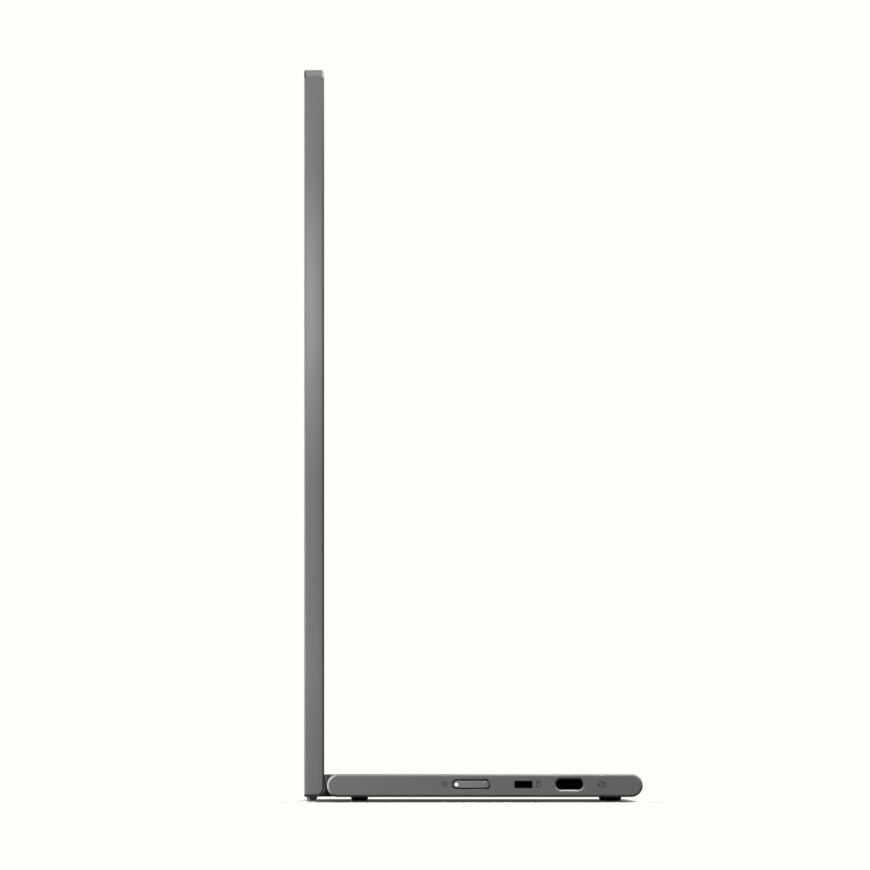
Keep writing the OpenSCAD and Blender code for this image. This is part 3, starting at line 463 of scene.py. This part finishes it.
def make_materials():
    """The finish of each material slot of the record, and of the keys."""
    return {
        "shell": surface(
            "shell", (0.19, 0.19, 0.185), 0.38, grain=0.12, height=0.0012, mottle=0.04,
            crown=slab_crown,
            # painted highlights on the base's end rim and the slab's back top corners; painted
            # shade on the low, downward, top and front-corner rims and the slot's lip
            edges=((painted_highlight_end, grey(0.48)), (painted_shade_slab_rim, grey(0.02)),
                   (painted_shade_base_rim, grey(0.02)), (painted_shade_top_round, grey(0.09)),
                   (painted_shade_front_corner, grey(0.005)), (painted_highlight_back_corner, grey(0.5)),
                   (painted_shade_sole, grey(0.02)), (painted_shade_slot_lip, grey(0.02))),
            Specular_IOR_Level=0.3,
        ),
        "key": surface(
            "key", (0.27, 0.27, 0.265), 0.38, grain=0.12, height=0.0012, mottle=0.04,
            # painted highlight on the keys' bevels that face up
            edges=((painted_highlight_upper_bevel, grey(0.45)),), Specular_IOR_Level=0.3,
        ),
        "bottom_plate": surface(
            "bottom_plate", (0.17, 0.17, 0.168), 0.5, 0.3, grain=0.15, height=0.0015
        ),
        "hinge_plastic": surface(
            "hinge_plastic", grey(0.1), 0.5, grain=0.25, height=0.003, mottle=0.08,
            # the end faces are painted lighter, and their bevels and the neck's band carry
            # painted highlights
            edges=((end_face, grey(0.28)), (painted_highlight_neck, grey(0.7)), (bevelled, grey(0.9))),
            Specular_IOR_Level=0.15,
        ),
        "bezel_plastic": surface(
            "bezel_plastic", (0.012, 0.012, 0.013), 0.4, grain=0.25, height=0.003, mottle=0.15
        ),
        "screen_glass": surface(
            "screen_glass", (0.006, 0.0065, 0.008), 0.24, grain=0.1, height=0.0004, mottle=0.1,
            drift=80.0, Specular_IOR_Level=0.25,
        ),
        "foot_rubber": surface(
            "foot_rubber", grey(0.004), 0.75, grain=0.3, height=0.01, mottle=0.3,
            Specular_IOR_Level=0.1,
        ),
        "chin_foot_plastic": surface(
            "chin_foot_plastic", grey(0.06), 0.25, grain=0.3, mottle=0.1,
            # a painted highlight strip on the feet's end faces
            edges=((painted_highlight_strip, grey(0.9)),),
        ),
        "steel": surface("steel", (0.5, 0.5, 0.51), 0.32, 1.0, grain=0.3, stretch=(0.1, 1, 1)),
        "screw_steel": surface("screw_steel", (0.42, 0.42, 0.43), 0.28, 1.0),
        "port_steel": surface(
            "port_steel", (0.006, 0.006, 0.0065), 0.5, Specular_IOR_Level=0.04
        ),
        "port_plastic": surface("port_plastic", grey(0.003), 0.5, Specular_IOR_Level=0.03),
        "bronze": surface("bronze", (0.5, 0.3, 0.15), 0.35, 1.0, grain=0.3, stretch=(0.1, 1, 1)),
        "panel_metal": surface("panel_metal", (0.55, 0.55, 0.56), 0.38, 1.0, grain=0.5),
        "panel_plastic": surface("panel_plastic", (0.75, 0.75, 0.74), 0.5, grain=0.4),
        "foam": surface("foam", grey(0.02), 0.9, grain=0.5, height=0.05, mottle=0.4),
        "circuit_board": surface(
            "circuit_board", (0.01, 0.07, 0.03), 0.35, grain=0.8, height=0.01, mottle=0.25
        ),
        "chip_black": surface("chip_black", grey(0.012), 0.55, grain=0.15),
        "connector_plastic": surface("connector_plastic", (0.6, 0.55, 0.42), 0.45, grain=0.3),
        "flex_film": surface("flex_film", (0.4, 0.2, 0.05), 0.3, grain=0.6, mottle=0.1),
        "cable_jacket": surface("cable_jacket", grey(0.01), 0.5, grain=0.3),
        "light_pipe": surface(
            "light_pipe", grey(0.9), 0.2, grain=0.3, mottle=0.02,
            Emission_Color=(1, 1, 1, 1), Emission_Strength=0.9,
        ),
    }


def dress_nodes(materials):
    """Gives each carried-over node the finish of its own slot, and the keys their own."""
    for name, node in nodes.items():
        for spot in node.material_slots:
            slot = "key" if name in ("power_button", "menu_rocker") else spot.material.name
            spot.material = materials[slot.split(".")[0]]


# ---- Soft edges of the small pieces ----

# How wide each piece's sharp edges are rounded, in mm
SOFT_EDGES = {
    "chin_feet": 0.3,
    "front_feet": 0.3,
    "rear_feet": 0.3,
    "power_button": 0.3,
    "menu_rocker": 0.12,
    "hinge_cover_upper": 0.08,
    "hinge_cover_lower": 0.08,
    "display_bezel": 0.08,
    "base_bottom_plate": 0.12,
}
SAME_POINT = 0.001 * MM
SAME_FACE = math.radians(0.5)
SHARP_EDGE = math.radians(35)


def soften(name, width):
    """Rounds the sharp edges of a node, whose mesh is split at each face's border."""
    node = nodes[name]
    weld = node.modifiers.new("weld", "WELD")
    weld.merge_threshold = SAME_POINT
    flat = node.modifiers.new("flat", "DECIMATE")
    flat.decimate_type = "DISSOLVE"
    flat.angle_limit = SAME_FACE
    bevel = node.modifiers.new("bevel", "BEVEL")
    bevel.width = width * MM
    bevel.segments = 3
    bevel.limit_method = "ANGLE"
    bevel.angle_limit = SHARP_EDGE
    bevel.use_clamp_overlap = True
    even = node.modifiers.new("even", "WEIGHTED_NORMAL")
    even.keep_sharp = False


# ---- Printed symbols on the right side ----

INK_PROUD = 0.012 * MM
LINE_W = 0.3 * MM


def stroke(mesh, points):
    """Flat line through points given as (along, up), on the right side face."""
    rows = []
    for i, here in enumerate(points):
        before = points[max(i - 1, 0)]
        after = points[min(i + 1, len(points) - 1)]
        run = (Vector(after) - Vector(before)).normalized()
        off = Vector((-run.y, run.x)) * LINE_W / 2
        rows.append([
            mesh.verts.new((side_x + INK_PROUD, *(Vector(here) + off))),
            mesh.verts.new((side_x + INK_PROUD, *(Vector(here) - off))),
        ])
    for (a, b), (c, d) in zip(rows, rows[1:]):
        mesh.faces.new((a, b, d, c))


def arc(centre, radius, start, end, steps=20):
    """Points on an arc, in degrees counter-clockwise from the right."""
    angles = [math.radians(start + (end - start) * i / steps) for i in range(steps + 1)]
    return [centre + Vector((math.cos(a), math.sin(a))) * radius for a in angles]


def power_symbol(mesh, centre):
    """Ring that is open at the top, with a stroke in the opening."""
    stroke(mesh, arc(centre, 0.76 * MM, 120, 420))
    stroke(mesh, [centre + Vector((0, 1.15 * MM)), centre + Vector((0, 0.15 * MM))])


def lock_symbol(mesh, centre):
    """Padlock: a body that narrows a little upwards, and a shackle."""
    half, low, high = 0.72 * MM, -1.05 * MM, 0.35 * MM
    upper_half = 0.86 * half
    corners = [(-half, low), (half, low), (upper_half, high), (-upper_half, high)]
    stroke(mesh, [centre + Vector(c) for c in corners + corners[:1]])
    top = centre + Vector((0, high))
    shackle, leg = 0.42 * MM, 0.3 * MM
    stroke(mesh, [top + Vector((shackle, 0))] + arc(top + Vector((0, leg)), shackle, 0, 180)
           + [top + Vector((-shackle, 0))])


def plug_symbol(mesh, centre):
    """Plug that points right: a cord, a body with two cut corners, and two prongs."""
    left, right, half, cut = -0.6 * MM, 0.67 * MM, 0.85 * MM, 0.35 * MM
    body = [(right, half), (left + cut, half), (left, half - cut),
            (left, cut - half), (left + cut, -half), (right, -half), (right, half)]
    stroke(mesh, [centre + Vector(c) for c in body])
    stroke(mesh, [centre + Vector((-1.5 * MM, 0)), centre + Vector((left, 0))])
    for side in (-1, 1):
        prong = centre + Vector((right, side * 0.45 * MM))
        stroke(mesh, [prong, prong + Vector((0.8 * MM, 0))])


# Each symbol with the pixel of the photograph at its middle
SYMBOLS = {
    "power_symbol": (power_symbol, (444.6, 784)),
    "lock_symbol": (lock_symbol, (538.4, 783.7)),
    "plug_symbol": (plug_symbol, (601.4, 784.5)),
}


def make_symbols(ink):
    for name, (draw, pixel) in SYMBOLS.items():
        shape = bmesh.new()
        draw(shape, at_pixel(*pixel).yz)
        shape.normal_update()
        for face in shape.faces:
            if face.normal.x < 0:
                face.normal_flip()
        piece = new_piece(name, shape, ink)
        skin = piece.modifiers.new("skin", "SOLIDIFY")
        skin.thickness = INK_PROUD
        skin.offset = -1
        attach(piece, "base")


# ---- Dark strip for shade behind the right port ----

BACKING_X = (side_x - 9.6 * MM, side_x - 9.2 * MM)  # just behind the port
BACKING_LOW, BACKING_HIGH = (552, 785), (588, 777.3)  # pixels of the photograph


def make_port_shade_strip(foam):
    """Dark strip in the foam's colour behind the right port, put there for shade, so that no
    light comes through the housing.
    """
    low = Vector((BACKING_X[0], *at_pixel(*BACKING_LOW).yz))
    high = Vector((BACKING_X[1], *at_pixel(*BACKING_HIGH).yz))
    shape = bmesh.new()
    bmesh.ops.create_cube(shape, size=1)
    for vert in shape.verts:
        vert.co = [(a + b) / 2 + (b - a) * c for a, b, c in zip(low, high, vert.co)]
    piece = new_piece("port_shade_strip", shape, foam)
    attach(piece, "base")


# ---- Floor and background ----

WHITE = (1.0, 0.991, 0.947)
CARD_SHARE = 0.75  # how much of the light the floor gives back where it shows a shadow
DULL = 0.03  # the floor's colour for light that neither camera nor reflection sees
CLEAR_SOONER = (2, 4)  # the shadow is this many times shorter along X and along Y
CLEAR_START, CLEAR_END = 2 * MM, 90 * MM
SHADOW_LIFT = 0.062  # the floor's own light, so that its darkest shadow isn't black
WORLD_LEVEL = 0.05

# Lines of the floor's grid: close ones near the part, and the far ones on either side
ROWS, ROW_STEP, ROW_START = 90, 2 * MM, cad_box[0].y - 30 * MM
COLUMNS, COLUMN_STEP = 80, 3 * MM  # on either side of the middle
FAR_ROWS = (0.16, 0.2, 0.26, 0.34, 0.46, 0.62, 0.85, 1.15, 1.5)
FAR_COLUMNS = FAR_ROWS[3:]

FALL, SWELL = 0.6 * MM, 0.5 * MM
FEET_X = 152 * MM  # how far from the middle the feet reach


def ease(value, start, end):
    """Smooth step from 0 at start to 1 at end."""
    t = min(max((value - start) / (end - start), 0), 1)
    return t * t * (3 - 2 * t)


def floor_height(x, y):
    """The floor is level under the feet. Past them it falls a little towards the camera and
    swells a little behind, so that the low view sees the shadow under the base."""
    along = ease(y, cad_box[0].y - 4 * MM, cad_box[0].y + 2 * MM)
    along *= 1 - ease(y, cad_box[1].y - 4 * MM, cad_box[1].y + 3 * MM)
    fall = max(ease(abs(x), FEET_X, FEET_X + 34 * MM), 1 - along)
    swell = ease(-x, FEET_X, FEET_X + 26 * MM)
    swell *= 1 - ease(-x, FEET_X + 28 * MM, FEET_X + 60 * MM)
    return -FALL * fall * (1 - swell * along) + SWELL * swell * along


def seen_white(tree):
    """1 for cameras, reflections and what shows through, and 0 for all other light."""
    path = tree.nodes.new("ShaderNodeLightPath")
    seen = path.outputs["Is Camera Ray"]
    for kind in ("Is Glossy Ray", "Is Transmission Ray"):
        seen = maths(tree, "MAXIMUM", seen, path.outputs[kind])
    return seen


def past_outline(tree):
    """How far a point of the floor lies outside the part's outline, times CLEAR_SOONER."""
    squares = []
    for axis, place in enumerate(own_axes(tree, "Object")[:2]):
        half = (cad_box[1] - cad_box[0])[axis] / 2
        away = size_of(tree, maths(tree, "SUBTRACT", place, middle[axis]))
        past = maths(tree, "MAXIMUM", maths(tree, "SUBTRACT", away, half), 0)
        longer = maths(tree, "MULTIPLY", past, CLEAR_SOONER[axis])
        squares.append(maths(tree, "POWER", longer, 2))
    return maths(tree, "SQRT", maths(tree, "ADD", *squares))


def mixed(tree, share, first, second):
    """Node that mixes two shader nodes."""
    node = tree.nodes.new("ShaderNodeMixShader")
    tree.links.new(share, node.inputs["Fac"])
    tree.links.new(first.outputs[0], node.inputs[1])
    tree.links.new(second.outputs[0], node.inputs[2])
    return node


def make_floor_material():
    """Cameras see a white card with the part's shadow, and past it the plain white."""
    material = bpy.data.materials.new("floor")
    material.use_nodes = True
    tree = material.node_tree
    tree.nodes.clear()
    card = add(tree, "ShaderNodeBsdfDiffuse", Color=(*(CARD_SHARE * c for c in WHITE), 1))
    lift = add(tree, "ShaderNodeEmission", Color=(*WHITE, 1), Strength=SHADOW_LIFT)
    lifted = tree.nodes.new("ShaderNodeAddShader")
    tree.links.new(card.outputs["BSDF"], lifted.inputs[0])
    tree.links.new(lift.outputs["Emission"], lifted.inputs[1])
    clear = add(tree, "ShaderNodeMapRange", From_Min=CLEAR_START, From_Max=CLEAR_END)
    clear.interpolation_type = "SMOOTHSTEP"
    tree.links.new(past_outline(tree), clear.inputs["Value"])
    glow = add(tree, "ShaderNodeEmission", Color=(*WHITE, 1))
    shown = mixed(tree, clear.outputs["Result"], lifted, glow)
    dull = add(tree, "ShaderNodeBsdfDiffuse", Color=(*grey(DULL), 1))
    mix = mixed(tree, seen_white(tree), dull, shown)
    out = tree.nodes.new("ShaderNodeOutputMaterial")
    tree.links.new(mix.outputs["Shader"], out.inputs["Surface"])
    return material


def make_floor():
    rows = [ROW_START + i * ROW_STEP for i in range(ROWS)]
    ys = sorted([-c for c in FAR_ROWS] + rows + [c for c in FAR_ROWS if c > rows[-1] + 0.01])
    columns = [i * COLUMN_STEP for i in range(-COLUMNS, COLUMNS + 1)]
    xs = sorted(columns + [side * c for side in (-1, 1) for c in FAR_COLUMNS])
    shape = bmesh.new()
    grid = [[shape.verts.new((x, y, floor_height(x, y))) for x in xs] for y in ys]
    for low, high in zip(grid, grid[1:]):
        for a, b, c, d in zip(low, low[1:], high[1:], high):
            shape.faces.new((a, b, c, d)).smooth = True
    floor = new_piece("floor", shape, make_floor_material())


def make_world():
    """White to cameras and reflections, and a soft even light for all else."""
    world = bpy.data.worlds.new("world")
    bpy.context.scene.world = world
    world.use_nodes = True
    tree = world.node_tree
    tree.nodes.clear()
    soft = add(tree, "ShaderNodeBackground", Color=(1, 1, 1, 1), Strength=WORLD_LEVEL)
    white = add(tree, "ShaderNodeBackground", Color=(*WHITE, 1), Strength=1.0)
    mix = mixed(tree, seen_white(tree), soft, white)
    out = tree.nodes.new("ShaderNodeOutputWorld")
    tree.links.new(mix.outputs["Shader"], out.inputs["Surface"])


# ---- Lamps ----

def softbox(name, place, aim, size, level, beam, mirrored=True):
    """Square lamp that lights a surface facing it at its aim at the given level, where 1
    shows a colour as written. beam is its width in degrees, and mirrored says whether glossy
    surfaces show it."""
    data = bpy.data.lights.new(name, "AREA")
    data.size = size
    run = Vector(aim) - Vector(place)
    half = math.radians(beam / 2)
    data.spread = 2 * half
    narrower = 1 - half / math.tan(half)  # as a narrow beam gathers the same power
    data.energy = level * (math.pi * run.length) ** 2 * narrower
    lamp = new_object(name, data)
    lamp.visible_camera = False
    lamp.visible_glossy = mirrored
    lamp.location = place
    lamp.rotation_euler = run.to_track_quat("-Z", "Y").to_euler()


def make_lamps():
    """Small lamps light the side that the photograph shows, and then three large ones the
    whole part. Each has its place, its aim, size, level and beam."""
    slab = Vector((side_x, slab_low.y, 0.16))
    chin = Vector((side_x, slab_low.y, 0.01))
    base_end = Vector((side_x, base_high.y, 0.006))
    top_end = Vector((side_x, slab_high.y, 0.243))
    softbox("near_side", (side_x + 0.13, slab.y - 0.012, 0.168), slab, 0.05, 0.62, 180)
    softbox("near_low", (side_x + 0.12, slab.y - 0.03, 0.11), chin, 0.06, 0.55, 60)
    softbox("graze", (side_x + 0.07, -0.35, 0.12), chin, 0.1, 1.2, 180, mirrored=False)
    softbox("base_over", (side_x + 0.04, 0.04, 0.3), (side_x, 0.03, 0.008), 0.06, 1.35, 30)
    softbox("end_over", (side_x + 0.06, 0.2, 0.16), base_end, 0.05, 0.7, 40)
    softbox("corner_right", (side_x + 0.04, slab.y + 0.12, 0.32), top_end, 0.03, 1.4, 20)
    softbox("corner_over", (side_x + 0.12, slab.y, 0.45), top_end, 0.06, 0.3, 25)
    softbox("top", (0, 0, 1.5), (0, 0, 0), 1.2, 0.5, 180)
    softbox("left_back", (-0.9, 0.9, 0.6), middle, 0.9, 0.8, 180, mirrored=False)
    softbox("over_front", (-0.4, -0.9, 0.9), middle, 1.0, 0.7, 180, mirrored=False)


# ---- Making ----

bpy.context.scene.view_settings.view_transform = "Standard"
make_camera()
materials = make_materials()
dress_nodes(materials)
for name, width in SOFT_EDGES.items():
    soften(name, width)
make_symbols(surface("ink", (0.04, 0.04, 0.039), 0.6, grain=0.08, height=0.001, mottle=0.1))
make_port_shade_strip(materials["foam"])
make_floor()
make_world()
make_lamps()
